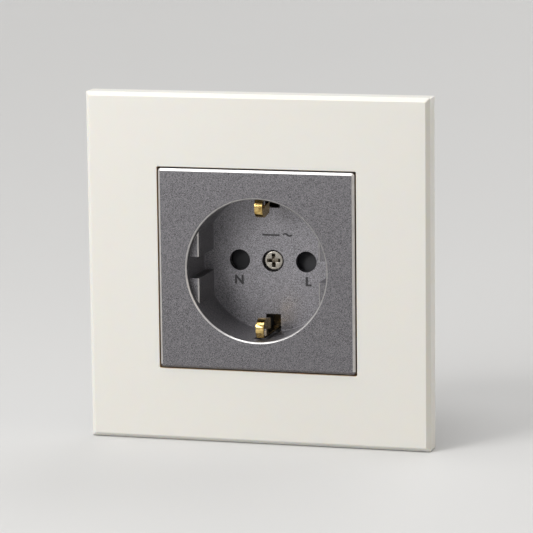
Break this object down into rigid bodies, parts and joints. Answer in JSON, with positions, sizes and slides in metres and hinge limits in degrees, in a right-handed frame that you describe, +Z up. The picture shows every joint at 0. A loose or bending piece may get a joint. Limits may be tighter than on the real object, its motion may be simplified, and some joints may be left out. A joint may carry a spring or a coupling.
{
  "type": "type f wall socket",
  "caption": "Flush-mounted wall socket with a round plug recess, side earth clips, shuttered pin holes and a square cover frame.",
  "frame": {"origin": "middle of the two upper and lower box-screw slots, in the wall face plane (back of the cover frame and of the mounting plate)", "axes": "+Y into the wall, +Z up, +X to the right for a person who looks at the socket"},
  "size_m": [0.096, 0.0406, 0.096],
  "materials": {
    "white_cover": "satin warm white",
    "silver_cover": "fine silver flake lacquer on plastic",
    "nickel_screw": "nickel-plated",
    "zinc_steel": "zinc-plated",
    "housing_plastic": "moulded, matt",
    "gold_strip": "gold-plated bronze",
    "shutter_plastic": "smooth moulded",
    "spring_steel": "bright wire",
    "contact_bronze": "bright strip"
  },
  "bodies": {
    "socket": {"cover_frame": "white_cover", "centre_plate": "silver_cover", "centre_screw": "nickel_screw", "screw_nut": "zinc_steel", "mounting_plate": "zinc_steel", "contact_housing": "housing_plastic", "rear_cover": "housing_plastic", "cover_screws": "zinc_steel", "earth_bridge": "gold_strip", "shutter_spring": "spring_steel", "line_contact": "contact_bronze", "neutral_contact": "contact_bronze", "line_grip_spring": "spring_steel", "neutral_grip_spring": "spring_steel", "line_clamp_plate": "zinc_steel", "neutral_clamp_plate": "zinc_steel", "earth_clamp_plate": "zinc_steel", "line_terminal_screw": "zinc_steel", "neutral_terminal_screw": "zinc_steel", "earth_terminal_screw": "zinc_steel"},
    "slider": {"shutter": "shutter_plastic"}
  },
  "joints": [
    {"name": "shutter_slide", "type": "slide", "parent": "socket", "child": "slider", "axis": [0, 0, -1], "range_m": [0, 0.0062], "stiffness_N_per_m": 120, "springref_m": -0.004, "deforming": ["shutter_spring"]}
  ]
}
